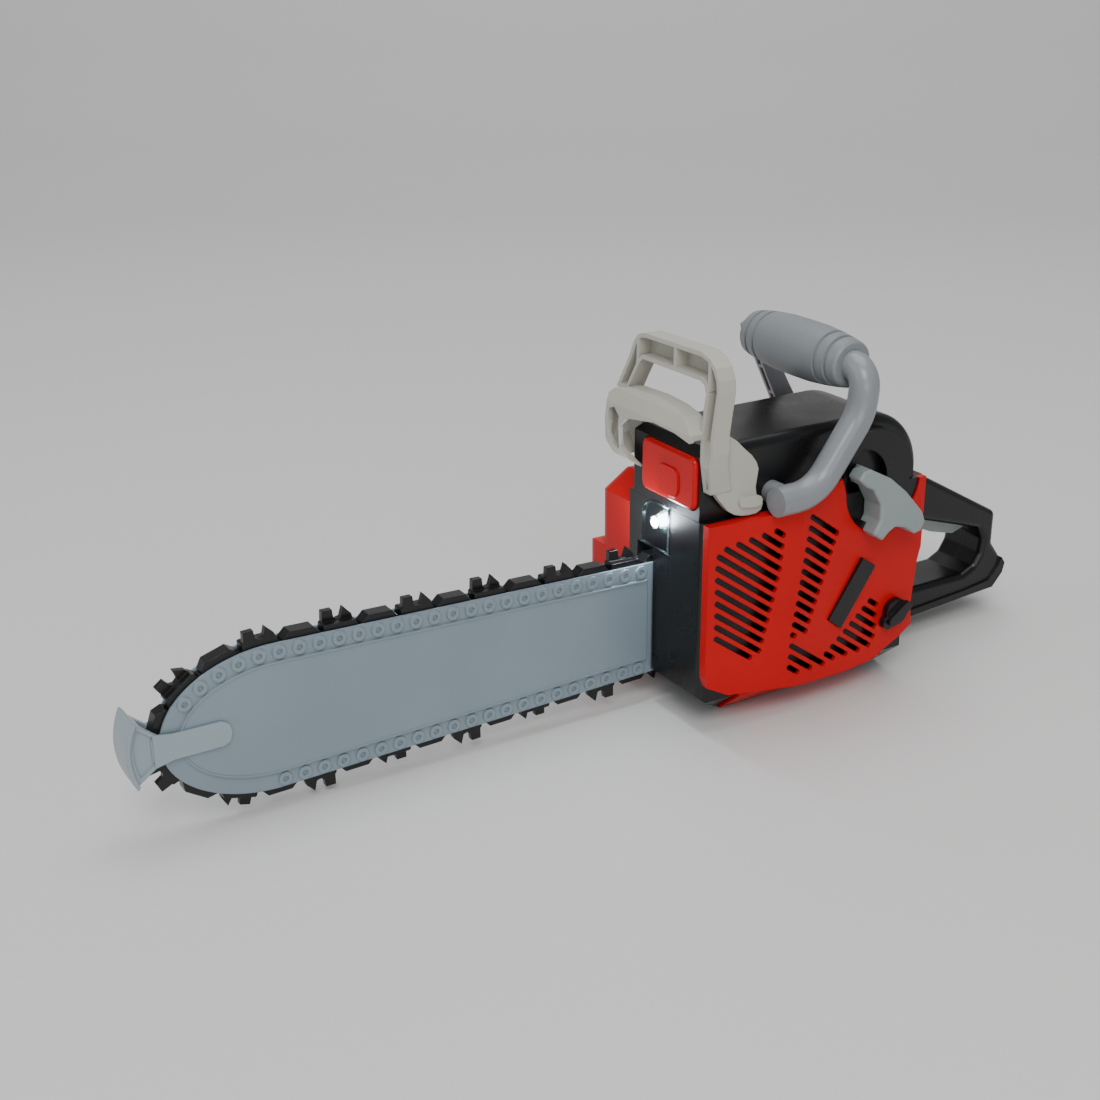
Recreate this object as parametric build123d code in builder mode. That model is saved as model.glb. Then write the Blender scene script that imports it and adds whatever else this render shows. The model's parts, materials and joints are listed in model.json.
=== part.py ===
from build123d import *

import os
from math import acos, cos, pi, radians, sin, tan

os.makedirs("parts", exist_ok=True)

# Toy chainsaw, in millimetres. The bar points to -X, the starter is on the left (-Y),
# the clutch cover on the right (+Y) and +Z is up. The origin is on the flat base.

# Driving dimensions
wall = 2.2  # moulded skin of every casing
gap = 0.3  # air between pieces that move past each other
running = 0.05  # radial clearance of a shaft in its hole

link_pitch = 8.1  # one chain rivet to the next
bar_z = 38.5  # height of the bar's centre line
nose_x = -273.0  # tip of the bar
shoulder_x = -228.0  # where the straight edges turn into the nose
shoulder_half = 30.0  # half height of the bar at the shoulder
bar_taper = 0.0279  # half height lost per millimetre towards the body
bar_root_x = -46.0  # end of the bar inside the body
bar_half_thick = 5.0  # half thickness over the raised panel
groove_half = 3.2  # half width of the groove that the chain lies in

wheel_x = -32.0  # axis of the chain's drive wheel
gear_step = 20.0  # distance between meshed axes
gear_z = bar_z
gear_module = 1.0
pressure = radians(25)
large_teeth = 30
small_teeth = 10
gear_width = 4.0

front_x = -58.0
rear_x = 57.5
left_y = -40.0  # left face of the core
split_y = -18.0  # plane where the two core halves meet
core_y = 12.0  # right face of the core
core_top = 92.0
neck_left = -37.0
neck_right = 9.0
neck_top = 122.0
clutch_y = 46.0
clutch_step_y = 36.0

handle_half = 13.0  # half width of the rear handle
tube_r = 6.2  # front handle tube
tube_left_y = -48.5
tube_right_y = 29.0
grip_x = 14.5
grip_z = 146.5

guard_pivot = (-36.0, 97.5)
guard_pin_r = 2.0
trigger_pivot = (88.0, 61.0)
trigger_half = 3.2
dish_centre = (32.0, 94.0)
dish_r = 21.3
boss_centre = (27.4, 95.1)  # round boss on the top cover, level with the dish
boss_r = 22.2
pull_stem = (41.0, 80.0)
stem_r = 2.5
cap_centre = (42.4, 33.4)
slot_slope = tan(radians(35.5))


def side(y):
    """Plane at the given Y, drawn in X and Z; a negative extrusion goes to the right."""
    return Plane.XZ.offset(-y)


def bar_side(y):
    """As side, with its origin on the bar's centre line."""
    return Plane(origin=(0, y, bar_z), x_dir=(1, 0, 0), z_dir=(0, -1, 0))


def save(part, name):
    """Label one finished piece and write its STEP file."""
    part.label = name
    export_step(part, f"parts/{name}.step")


def bar_half(x):
    """Half height of the bar's edge at x."""
    return shoulder_half - bar_taper * (x - shoulder_x)


def bar_face(inset, end_x):
    """Side face of the bar, its edge moved in by inset, cut off square at end_x."""
    top = shoulder_half - inset
    end = bar_half(end_x) - inset
    with BuildSketch() as face:
        with BuildLine():
            Line((shoulder_x, top), (end_x, end))
            Line((end_x, end), (end_x, -end))
            Line((end_x, -end), (shoulder_x, -top))
            EllipticalCenterArc((shoulder_x, 0), shoulder_x - nose_x - inset, top, 90, arc_size=180)
        make_face()
    return face.sketch


def loop_line(inset):
    """Closed line round the bar's nose and the drive wheel, inset from the bar's edge."""
    top = shoulder_half - inset
    end = bar_half(wheel_x) - inset
    with BuildLine() as loop:
        Line((shoulder_x, -top), (wheel_x, -end))
        CenterArc((wheel_x, 0), end, -90, 180)
        Line((wheel_x, end), (shoulder_x, top))
        EllipticalCenterArc((shoulder_x, 0), shoulder_x - nose_x - inset, top, 90, arc_size=180)
    return loop.wires()[0]


def loop_spots(line, step, count, start):
    """Places along a loop, each turned so that its local Y points outwards."""
    spots = []
    for index in range(count):
        along = (start + index * step) % line.length
        place = line.position_at(along, position_mode=PositionMode.LENGTH)
        heading = line.tangent_at(along, position_mode=PositionMode.LENGTH)
        angle = Vector(1, 0, 0).get_signed_angle(heading, Vector(0, 0, 1))
        spots.append(Location((place.X, place.Y, 0), (0, 0, angle + 180)))
    return spots


def gear_points(teeth, turn):
    """Outline of an involute gear, thinned a little so that a meshed pair runs free."""
    pitch_r = gear_module * teeth / 2
    base_r = pitch_r * cos(pressure)
    tip_r = pitch_r + 0.85 * gear_module
    root_r = pitch_r - 1.15 * gear_module
    backlash = 0.16
    half_tooth = pi / (2 * teeth) - backlash / (2 * pitch_r) + tan(pressure) - pressure
    first_r = max(base_r, root_r + 0.05)
    flank = []
    for step in range(5):
        r = first_r + (tip_r - first_r) * step / 4
        lean = acos(min(1, base_r / r))
        flank.append((r, half_tooth - tan(lean) + lean))
    flank = [(root_r, flank[0][1] + 0.02)] + flank
    points = []
    for tooth in range(teeth):
        centre = radians(turn) + tooth * 2 * pi / teeth
        rising = [(r, centre - half) for r, half in flank]
        falling = [(r, centre + half) for r, half in reversed(flank)]
        points += [(r * cos(a), r * sin(a)) for r, a in rising + falling]
    return points


def clip_slot(region, level):
    """Ends of the slanted line x * slope + z = level inside a convex region."""
    hits = []
    for (x1, z1), (x2, z2) in zip(region, region[1:] + region[:1]):
        start = x1 * slot_slope + z1 - level
        end = x2 * slot_slope + z2 - level
        if start * end < 0:
            part = start / (start - end)
            hits.append((x1 + part * (x2 - x1), z1 + part * (z2 - z1)))
    return sorted(hits)


# Core of the body: two halves that meet at split_y
core_outline = [(front_x, 15.5), (-38, 0), (51.5, 0), (rear_x, 14), (rear_x, core_top), (front_x, core_top)]
slot_half = 32.5
door_x = (3.0, 49.0)
door_y = (-24.0, 9.0)
motor_x = wheel_x + 2 * gear_step
motor_half_x = 7.8
motor_half_z = 10.2

rear_waist = [(61, 60), (57.5, 60), (55.2, 54), (52.6, 34), (53.8, 24), (51.8, 20.5), (51.8, -1), (61, -1)]
rear_waist_inside = [(61, 63), (55.5, 61.5), (53, 54.5), (50.4, 34.5), (51.4, 24.5), (49.8, 21), (49.8, -1), (61, -1)]

with BuildPart() as left_cavity:
    with BuildSketch(side(left_y + wall)):
        Polygon(*core_outline, align=None)
        offset(amount=-wall, mode=Mode.REPLACE)
        Polygon(*rear_waist_inside, align=None, mode=Mode.SUBTRACT)
    extrude(amount=left_y + wall - split_y)
    with BuildSketch(Plane.YZ.offset(front_x)):
        Polygon((left_y, 0), (-22.5, 0), (left_y, 15.5), align=None)
    extrude(amount=rear_x - front_x, mode=Mode.SUBTRACT)

lens_outline = [(-16.5, 71.5), (1.8, 71.5), (1.6, 85), (-0.5, 89.5), (-5, 91.6), (-16.5, 91.6)]

with BuildPart() as left_housing:
    with BuildSketch(side(left_y)):
        Polygon(*core_outline, align=None)
        Polygon(*rear_waist, align=None, mode=Mode.SUBTRACT)
    extrude(amount=left_y - split_y)
    with BuildSketch(Plane.YZ.offset(front_x)):
        Polygon((left_y, 0), (-25, 0), (left_y, 12.5), align=None)
    extrude(amount=rear_x - front_x, mode=Mode.SUBTRACT)
    front_edge = left_housing.edges().filter_by(Axis.Z).group_by(Axis.X)[0].group_by(Axis.Y)[0]
    fillet(front_edge, radius=3)
    add(left_cavity.part, mode=Mode.SUBTRACT)
    with BuildSketch(Plane.XY.offset(-1)):
        with Locations(((door_x[0] + door_x[1]) / 2, (door_y[0] + split_y) / 2)):
            Rectangle(door_x[1] - door_x[0] + 2 * gap, split_y - door_y[0] + 2 * gap)
    extrude(amount=wall + 1.5, mode=Mode.SUBTRACT)
    with BuildSketch(side(left_y)):
        with Locations(pull_stem):
            Circle(stem_r + gap)
    extrude(amount=-wall, mode=Mode.SUBTRACT)
save(left_housing.part, "left_housing")

with BuildPart() as right_housing:
    with BuildSketch(side(split_y)):
        Polygon(*core_outline, align=None)
    extrude(amount=split_y - core_y)
    with BuildSketch(side(split_y)):
        Polygon(*core_outline, align=None)
        offset(amount=-wall, mode=Mode.REPLACE)
    extrude(amount=split_y - core_y + wall, mode=Mode.SUBTRACT)
    # Mouth for the bar and the chain
    with BuildSketch(Plane.YZ.offset(front_x - 1)):
        with Locations((0, bar_z)):
            Rectangle(2 * bar_half_thick + 1.6, 2 * slot_half)
    extrude(amount=16, mode=Mode.SUBTRACT)
    # Window for the lamp's lens
    with BuildSketch(Plane.YZ.offset(front_x - 1)):
        Polygon(*lens_outline, align=None)
    extrude(amount=wall + 2, mode=Mode.SUBTRACT)
    # Bottom opening under the cells
    with BuildSketch(Plane.XY.offset(-1)):
        with Locations(((door_x[0] + door_x[1]) / 2, (split_y + door_y[1]) / 2)):
            Rectangle(door_x[1] - door_x[0] + 2 * gap, door_y[1] - split_y + 2 * gap)
    extrude(amount=wall + 1.5, mode=Mode.SUBTRACT)
    # Holes in the right wall for the wheel shaft and the motor
    with BuildSketch(side(core_y)):
        with Locations((wheel_x, gear_z)):
            Circle(4)
        with Locations((motor_x, gear_z)):
            Rectangle(2 * motor_half_x + 1, 2 * motor_half_z + 1)
    extrude(amount=wall + 1, mode=Mode.SUBTRACT)
save(right_housing.part, "right_housing")

# Red starter cover with its slanted cooling slots
starter_outline = [
    (front_x, 26), (-56.6, 21.4), (-46.2, 15.9), (-24, 13.2), (-9, 11.4), (15.4, 10.9), (31, 12),
    (37.6, 15), (48.2, 19.6), (54.6, 23.8), (53.4, 34), (55.4, 54.2), (57, 60), (57, 92), (51.6, 92),
    (45, 80), (20, 80), (11, 93), (8.3, 100.5), (-14, 92), (front_x, 92),
]
crease_x = -12.0
starter_plan = [(front_x, left_y), (front_x, -43.8), (crease_x, -46.2), (57, -43.2), (57, left_y)]
front_region = [(-54.5, 79), (-50, 82.5), (-20.5, 86), (-22, 67), (-25.5, 52), (-31, 29.5), (-42, 31), (-54, 39)]
middle_region = [(-8, 90), (8.5, 78), (-7.5, 33.5), (-16, 35.5)]
lower_region = [(-15.8, 36), (-17, 17.5), (8, 17.5)]
rear_region = [(33, 46), (33.8, 36), (33, 23), (30, 18.5), (9.5, 18.5), (3.5, 23)]
slot_step = 5.12
slot_width = 2.3
stripe_outline = [(21.5, 62.9), (28.6, 58.2), (11.2, 33.0), (4.2, 38.4)]

with BuildPart() as starter_inside:
    with BuildSketch(side(left_y)):
        Polygon(*starter_outline, align=None)
        offset(amount=-2, mode=Mode.REPLACE)
        with Locations(dish_centre):
            Circle(dish_r + 2, mode=Mode.SUBTRACT)
        Polygon(*stripe_outline, align=None, mode=Mode.SUBTRACT)
    extrude(amount=10)
    with BuildSketch(Plane.XY):
        Polygon((front_x, left_y), (front_x, -41.9), (crease_x, -44.3), (57, -41.3), (57, left_y), align=None)
    extrude(amount=110, mode=Mode.INTERSECT)

with BuildPart() as starter_cover:
    with BuildSketch(side(left_y)):
        Polygon(*starter_outline, align=None)
        fillet(vertices().sort_by(Axis.X)[:1], radius=2)
        with Locations(dish_centre):
            Circle(dish_r, mode=Mode.SUBTRACT)
    extrude(amount=10)
    with BuildSketch(Plane.XY):
        Polygon(*starter_plan, align=None)
    extrude(amount=110, mode=Mode.INTERSECT)
    add(starter_inside.part, mode=Mode.SUBTRACT)
    with BuildSketch(side(-50)):
        for region in (front_region, middle_region, lower_region, rear_region):
            for index in range(-3, 24):
                ends = clip_slot(region, index * slot_step)
                if len(ends) == 2 and ends[1][0] - ends[0][0] > slot_width + 0.6:
                    run = ends[1][0] - ends[0][0]
                    middle = ((ends[0][0] + ends[1][0]) / 2, (ends[0][1] + ends[1][1]) / 2)
                    with Locations(Location((middle[0], middle[1], 0), (0, 0, -35.5))):
                        SlotOverall(run / cos(radians(35.5)), slot_width)
    extrude(amount=-10, mode=Mode.SUBTRACT)
    with BuildSketch(side(-50)):
        Polygon(*stripe_outline, align=None)
    extrude(amount=-5.6, mode=Mode.SUBTRACT)
    with BuildSketch(side(-50)):
        with Locations(cap_centre):
            Circle(stem_r + running)
    extrude(amount=-10, mode=Mode.SUBTRACT)
    # Lower lip, wrapped under the slanted edge of the core
    with BuildSketch(Plane.YZ.offset(-38)):
        Polygon((-41, 13.2), (left_y, 12.4), (-26.2, 0.9), (-28.3, 0.9), (-41, 11.5), align=None)
    extrude(amount=78)
save(starter_cover.part, "starter_cover")

# Black stripe let into the starter cover
with BuildPart() as stripe_inlay:
    with BuildSketch(side(-46.6)):
        Polygon(*stripe_outline, align=None)
        offset(amount=-0.1, mode=Mode.REPLACE)
    extrude(amount=-2.2)
save(stripe_inlay.part, "stripe_inlay")

# Screws that close the casing from the right, in posts of the clutch cover and in the handle
cover_screw_spots = [(44, clutch_y, 20), (44, clutch_y, 52), (-46, clutch_step_y, 76)]
handle_screw_spots = [(130.5, handle_half, 21), (72, handle_half, 16.5)]
screw_head_r = 2.6
screw_shank_r = 1.3

# Red clutch cover: a deep lower box with a shallower upper one
clutch_low = [(front_x, 16), (-47, 3), (46, 3), (52, 12), (52, 60), (front_x, 60)]
clutch_high = [(front_x, 50), (52, 50), (52, 84), (44, 94), (-46, 94), (front_x, 86)]

with BuildPart() as clutch_high_block:
    with BuildSketch(side(core_y)):
        Polygon(*clutch_high, align=None)
    extrude(amount=core_y - clutch_step_y)
    fillet(clutch_high_block.edges().group_by(Axis.Y)[-1], radius=7)

with BuildPart() as clutch_cover:
    with BuildSketch(side(core_y)):
        Polygon(*clutch_low, align=None)
    extrude(amount=core_y - clutch_y)
    fillet(clutch_cover.edges().group_by(Axis.Y)[-1], radius=7)
    add(clutch_high_block.part)
    with BuildSketch(side(core_y)):
        Polygon(*clutch_low, align=None)
        offset(amount=-wall - 0.6, mode=Mode.REPLACE)
    extrude(amount=core_y - clutch_y + wall + 0.8, mode=Mode.SUBTRACT)
    with BuildSketch(side(core_y)):
        Polygon(*clutch_high, align=None)
        offset(amount=-wall - 0.6, mode=Mode.REPLACE)
    extrude(amount=core_y - clutch_step_y + wall + 0.8, mode=Mode.SUBTRACT)
    for x, y, z in cover_screw_spots:
        with BuildSketch(side(core_y)):
            with Locations((x, z)):
                Circle(3.6)
        extrude(amount=core_y - y + 2)
        with BuildSketch(side(y)):
            with Locations((x, z)):
                Circle(screw_head_r + 0.1)
        extrude(amount=2, mode=Mode.SUBTRACT)
        with BuildSketch(side(y)):
            with Locations((x, z)):
                Circle(screw_shank_r)
        extrude(amount=9, mode=Mode.SUBTRACT)
save(clutch_cover.part, "clutch_cover")

# Black top cover: a flat-topped neck that rounds down to the rear
neck_r = 28.0  # rounded fall of the roof to the rear
button_y = (-35.5, 1.5)
button_z = (96.0, 118.5)
pocket_x = -51.0


def neck_side_face():
    """Side face of the neck, flat on top and rounded at the rear."""
    with BuildSketch() as face:
        with BuildLine():
            Polyline((rear_x, neck_top - neck_r), (rear_x, core_top), (front_x, core_top), (front_x, 119),
                     (-54, neck_top), (rear_x - neck_r, neck_top))
            CenterArc((rear_x - neck_r, neck_top - neck_r), neck_r, 0, 90)
        make_face()
    return face.sketch


with BuildPart() as neck_inside:
    with BuildSketch(side(neck_left + wall)):
        add(neck_side_face())
        offset(amount=-wall, mode=Mode.REPLACE)
        with Locations(((front_x + rear_x) / 2, core_top + 1)):
            Rectangle(rear_x - front_x - 2 * wall, 2 * wall)
        with Locations(((pocket_x + front_x) / 2, 106)):
            Rectangle(pocket_x - front_x + 2 * wall, 40, mode=Mode.SUBTRACT)
    extrude(amount=neck_left - neck_right + 2 * wall)

with BuildPart() as top_cover:
    with BuildSketch(side(neck_left)):
        add(neck_side_face())
    extrude(amount=neck_left - neck_right)
    fillet(top_cover.edges().filter_by(lambda e: e.center().Z > 100 and e.center().X > -50 and abs(e.center().Y) > 8),
           radius=4)
    add(neck_inside.part, mode=Mode.SUBTRACT)
    # Pocket of the front button, with a hole for its stem
    with BuildSketch(Plane.YZ.offset(front_x - 1)):
        with Locations((sum(button_y) / 2, sum(button_z) / 2)):
            RectangleRounded(button_y[1] - button_y[0] + 2 * gap, button_z[1] - button_z[0] + 2 * gap, 4)
    extrude(amount=pocket_x - wall - front_x + 1, mode=Mode.SUBTRACT)
    with BuildSketch(Plane.YZ.offset(front_x)):
        with Locations((sum(button_y) / 2, sum(button_z) / 2)):
            Circle(3 + gap)
    extrude(amount=16, mode=Mode.SUBTRACT)
    # Holes for the guard's pivot pins
    with BuildSketch(side(neck_left)):
        with Locations(guard_pivot):
            Circle(guard_pin_r)
    extrude(amount=-60, mode=Mode.SUBTRACT)
save(top_cover.part, "top_cover")

# Front button: a rounded cap with a raised finger pad and a stem
button_front = -59.8
button_mid = (sum(button_y) / 2, sum(button_z) / 2)
with BuildPart() as light_button:
    with BuildSketch(Plane.YZ.offset(button_front)):
        with Locations(button_mid):
            RectangleRounded(button_y[1] - button_y[0], button_z[1] - button_z[0], 4)
    extrude(amount=4.2)
    fillet(light_button.edges().group_by(Axis.X)[0], radius=1.5)
    with BuildSketch(Plane.YZ.offset(button_front - 0.7)):
        with Locations((button_mid[0] - 1, button_mid[1] - 2.5)):
            RectangleRounded(14, 12.5, 4)
        with Locations((button_mid[0] + 1, button_mid[1] - 2.5)):
            RectangleRounded(7, 11, 3)
    extrude(amount=2)
    with BuildSketch(Plane.YZ.offset(button_front + 4)):
        with Locations(button_mid):
            Circle(3)
    extrude(amount=11.3)
save(light_button.part, "light_button")

with BuildPart() as button_switch:
    with BuildSketch(Plane.YZ.offset(-41.5)):
        with Locations(button_mid):
            Circle(1.8)
    extrude(amount=2)
    with BuildSketch(Plane.YZ.offset(-39.5)):
        with Locations(button_mid):
            Rectangle(8, 8)
    extrude(amount=4)
save(button_switch.part, "button_switch")

# Lamp: lens in the front wall, with a dome LED through it and a little board behind
led_centre = (-7.0, 82.9)
with BuildPart() as led_lens:
    with BuildSketch(Plane.YZ.offset(front_x - 0.8)):
        Polygon(*lens_outline, align=None)
        offset(amount=-0.05, kind=Kind.INTERSECTION, mode=Mode.REPLACE)
        with Locations(led_centre):
            Circle(2.7, mode=Mode.SUBTRACT)
    extrude(amount=2.4)
save(led_lens.part, "led_lens")

with BuildPart() as led:
    with BuildSketch(Plane.YZ.offset(-59.6)):
        with Locations(led_centre):
            Circle(2.5)
    extrude(amount=10.6)
    fillet(led.edges().group_by(Axis.X)[0], radius=2.3)
    with BuildSketch(Plane.YZ.offset(-49.5)):
        with Locations(led_centre):
            Circle(2.9)
    extrude(amount=1)
save(led.part, "led")

with BuildPart() as led_board:
    with BuildSketch(Plane.YZ.offset(-48.5)):
        with Locations((-7, 81.5)):
            Rectangle(14, 14)
    extrude(amount=1.4)
save(led_board.part, "led_board")

# Guide bar: two mirrored mouldings with ring rivets round their edges
rivet_inset = 3.35
rim_face_y = 4.2
with BuildPart() as guide_bar_left:
    with BuildSketch(bar_side(-rim_face_y)):
        add(bar_face(0, bar_root_x))
    extrude(amount=groove_half - rim_face_y)
    with BuildSketch(bar_side(-groove_half)):
        add(bar_face(4.2, -55.5))
    extrude(amount=-groove_half)
    with BuildSketch(bar_side(-bar_half_thick)):
        add(bar_face(7.0, -60))
    extrude(amount=rim_face_y - bar_half_thick)
    with BuildSketch(bar_side(-bar_half_thick - 0.25)):
        add(bar_face(7.0, -60))
        add(bar_face(7.9, -60), mode=Mode.SUBTRACT)
    extrude(amount=-0.6)
    with BuildSketch(bar_side(-bar_half_thick)):
        with Locations(*loop_spots(loop_line(rivet_inset), link_pitch, 62, 2.0)):
            Circle(2.8)
            Circle(1.15, mode=Mode.SUBTRACT)
        with Locations((0, 0)):
            Rectangle(120, 120, mode=Mode.SUBTRACT)
    extrude(amount=rim_face_y - bar_half_thick)
    with BuildSketch(bar_side(-bar_half_thick)):
        with Locations((wheel_x, 0)):
            Circle(5)
    extrude(amount=-2 * bar_half_thick, mode=Mode.SUBTRACT)
save(guide_bar_left.part, "guide_bar_left")

with BuildPart() as guide_bar_right:
    mirror(guide_bar_left.part, about=Plane.XZ)
save(guide_bar_right.part, "guide_bar_right")

# Tip guard: a flared plate with a broad curved front, clipped over the bar's nose
tip_plate = [
    (-270, 5.0), (-273.2, 5.0), (-282.7, 12.9), (-285.4, 5), (-285.4, -3), (-283, -12.5),
    (-273, -5.4), (-270, -5.4),
]
tip_panel = [(-274.4, 4.2), (-281.2, 9.8), (-283.1, 4.7), (-283.1, -3), (-281.6, -9.4), (-274.4, -4.4)]
tongue = [
    (-276, 6.4), (-268.4, 5.1), (-249.6, 5.0), (-246.8, 3.4), (-245.8, 0), (-246.8, -4), (-249.6, -5.2),
    (-268.4, -5.3), (-276, -7.0),
]
with BuildPart() as tip_guard:
    with BuildSketch(bar_side(-5.8)):
        Polygon(*tip_plate, align=None)
    extrude(amount=-11.6)
    with BuildSketch(bar_side(-5.8)):
        Polygon(*tip_panel, align=None)
    extrude(amount=-0.8, mode=Mode.SUBTRACT)
    with BuildSketch(bar_side(5.8)):
        Polygon(*tip_panel, align=None)
    extrude(amount=0.8, mode=Mode.SUBTRACT)
    # Broad curved front
    with BuildSketch(bar_side(-7.4)):
        with BuildLine():
            ThreePointArc((-283.2, 14.6), (-286.4, 1), (-283.4, -13.4))
            Line((-283.4, -13.4), (-282.2, -12.1))
            ThreePointArc((-282.2, -12.1), (-284.8, 1), (-281.6, 12.8))
            Line((-281.6, 12.8), (-283.2, 14.6))
        make_face()
    extrude(amount=-14.8)
    for y in (-6.2, 5.3):
        with BuildSketch(bar_side(y)):
            Polygon(*tongue, align=None)
            fillet(vertices().filter_by(lambda v: v.X > -252), radius=1.8)
        extrude(amount=-0.9)
    with BuildSketch(bar_side(-5.6)):
        with Locations((-274.6, 0)):
            Rectangle(4, 9)
    extrude(amount=-11.2)
    with BuildSketch(bar_side(-5.26)):
        add(bar_face(-0.05, -200))
    extrude(amount=-10.52, mode=Mode.SUBTRACT)
    with BuildSketch(bar_side(-groove_half)):
        add(bar_face(-8.3, -200))
    extrude(amount=-2 * groove_half, mode=Mode.SUBTRACT)
save(tip_guard.part, "tip_guard")

# Chain: one moulded belt with tie humps and cutters
chain_half = 2.9
chain_inner = 3.6
chain_outer = 1.0
chain_groups = 18
chain_line = loop_line(chain_outer)
chain_step = chain_line.length / chain_groups
chain_start = 16.5
hump = [(-7.7, -0.6), (-7.7, 0.8), (-4.8, 3.8), (5, 3.8), (7.7, 0.8), (7.7, -0.6)]
cutter = [(-7.4, -0.6), (-7.2, 2.8), (-6.6, 3.2), (6, 3.2), (6.8, 1.6), (7.4, -0.6)]
teeth = [
    (-6.6, 2), (-6.5, 7.7), (-2.4, 7.7), (-1.9, 4.4), (-0.6, 3.4), (1.2, 3.8), (2.4, 7.9),
    (5.6, 4.6), (6.2, 2),
]
with BuildPart() as chain:
    with BuildSketch(bar_side(-chain_half)):
        with BuildLine():
            add(loop_line(chain_outer))
        make_face()
        with BuildLine():
            add(loop_line(chain_inner))
        make_face(mode=Mode.SUBTRACT)
    extrude(amount=-2 * chain_half)
    with BuildSketch(bar_side(-chain_half)):
        with Locations(*loop_spots(chain_line, chain_step, chain_groups, chain_start + chain_step / 2)):
            Polygon(*hump, align=None)
    extrude(amount=-2 * chain_half)
    with BuildSketch(bar_side(-chain_half)):
        with Locations(*loop_spots(chain_line, chain_step, chain_groups, chain_start)):
            Polygon(*cutter, align=None)
    extrude(amount=-2 * chain_half)
    # Teeth stand on one side of the chain and on the other by turns
    for y, first in ((-chain_half, 0), (0.3, chain_step)):
        with BuildSketch(bar_side(y)):
            with Locations(*loop_spots(chain_line, 2 * chain_step, chain_groups // 2, chain_start + first)):
                Polygon(*teeth, align=None)
        extrude(amount=0.3 - chain_half)
save(chain.part, "chain")

# Drive: motor and pinion, a compound gear, the output gear and the chain's drive wheel
plate_in = 14.0  # left faces of the two gearbox plates
plate_out = 27.0
plate_thick = 1.8
shaft_r = 2.0
low_gear_y = 16.4
high_gear_y = 21.6
compound_x = wheel_x + gear_step

with BuildPart() as drive_wheel:
    with BuildSketch(bar_side(-chain_half)):
        with Locations((wheel_x, 0)):
            Circle(bar_half(wheel_x) - chain_inner - gap)
            with PolarLocations(12.2, 6):
                Circle(4)
            Circle(shaft_r, mode=Mode.SUBTRACT)
    extrude(amount=-2 * chain_half)
save(drive_wheel.part, "drive_wheel")


def bar_disc(y_start, y_end, x, radius):
    """Plain round bar about a gear axis at x, from y_start to y_end."""
    with BuildPart() as disc:
        with BuildSketch(bar_side(y_start)):
            with Locations((x, 0)):
                Circle(radius)
        extrude(amount=y_start - y_end)
    return disc.part


with BuildPart() as wheel_shaft:
    add(bar_disc(-9, 30, wheel_x, shaft_r))
save(wheel_shaft.part, "wheel_shaft")

with BuildPart() as output_gear:
    with BuildSketch(bar_side(low_gear_y)):
        with Locations((wheel_x, 0)):
            Polygon(*gear_points(large_teeth, 0), align=None)
            Circle(shaft_r, mode=Mode.SUBTRACT)
    extrude(amount=-gear_width)
save(output_gear.part, "output_gear")

with BuildPart() as compound_gear:
    with BuildSketch(bar_side(low_gear_y - 0.4)):
        with Locations((compound_x, 0)):
            Polygon(*gear_points(small_teeth, 18), align=None)
            Circle(shaft_r + running, mode=Mode.SUBTRACT)
    extrude(amount=-(high_gear_y - low_gear_y + 0.4))
    with BuildSketch(bar_side(high_gear_y)):
        with Locations((compound_x, 0)):
            Polygon(*gear_points(large_teeth, 0), align=None)
            Circle(shaft_r + running, mode=Mode.SUBTRACT)
    extrude(amount=-gear_width)
save(compound_gear.part, "compound_gear")

with BuildPart() as gear_axle:
    add(bar_disc(plate_in, plate_out + plate_thick, compound_x, shaft_r))
save(gear_axle.part, "gear_axle")

with BuildPart() as motor_pinion:
    with BuildSketch(bar_side(high_gear_y - 0.4)):
        with Locations((motor_x, 0)):
            Polygon(*gear_points(small_teeth, 18), align=None)
            Circle(1, mode=Mode.SUBTRACT)
    extrude(amount=-gear_width - 0.8)
save(motor_pinion.part, "motor_pinion")

motor_left_y = -11.5
with BuildPart() as motor_shaft:
    add(bar_disc(motor_left_y + 2, plate_out - 0.3, motor_x, 1.0))
save(motor_shaft.part, "motor_shaft")

with BuildPart() as motor:
    with BuildSketch(bar_side(motor_left_y)):
        with Locations((motor_x, 0)):
            Circle(motor_half_z - 0.2)
            Rectangle(2 * motor_half_x - 0.4, 2 * motor_half_z, mode=Mode.INTERSECT)
    extrude(amount=motor_left_y - plate_in)
    add(bar_disc(motor_left_y - 1.5, motor_left_y, motor_x, 3))
    add(bar_disc(motor_left_y + 1.9, plate_in, motor_x, 1 + running), mode=Mode.SUBTRACT)
save(motor.part, "motor")

# Gearbox: two plates held apart by four posts
post_spots = [(-40, -21), (-50, 22), (16, -20), (16, 20)]
plate_outline = [(-54, -12), (-44, -25), (20, -24), (20, 24), (-54, 26)]


def gearbox_plate(y):
    """One plate with its shaft holes, its left face at y."""
    with BuildPart() as plate:
        with BuildSketch(bar_side(y)):
            Polygon(*plate_outline, align=None)
            with Locations((wheel_x, 0)):
                Circle(shaft_r + running, mode=Mode.SUBTRACT)
            with Locations((compound_x, 0)):
                Circle(shaft_r, mode=Mode.SUBTRACT)
            with Locations((motor_x, 0)):
                Circle(1.6, mode=Mode.SUBTRACT)
        extrude(amount=-plate_thick)
    return plate.part


save(gearbox_plate(plate_in), "gearbox_plate_inner")
save(gearbox_plate(plate_out), "gearbox_plate_outer")

with BuildPart() as gearbox_posts:
    with BuildSketch(bar_side(plate_in + plate_thick)):
        with Locations(*post_spots):
            Circle(2.5)
    extrude(amount=plate_in + plate_thick - plate_out)
save(gearbox_posts.part, "gearbox_posts")

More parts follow.
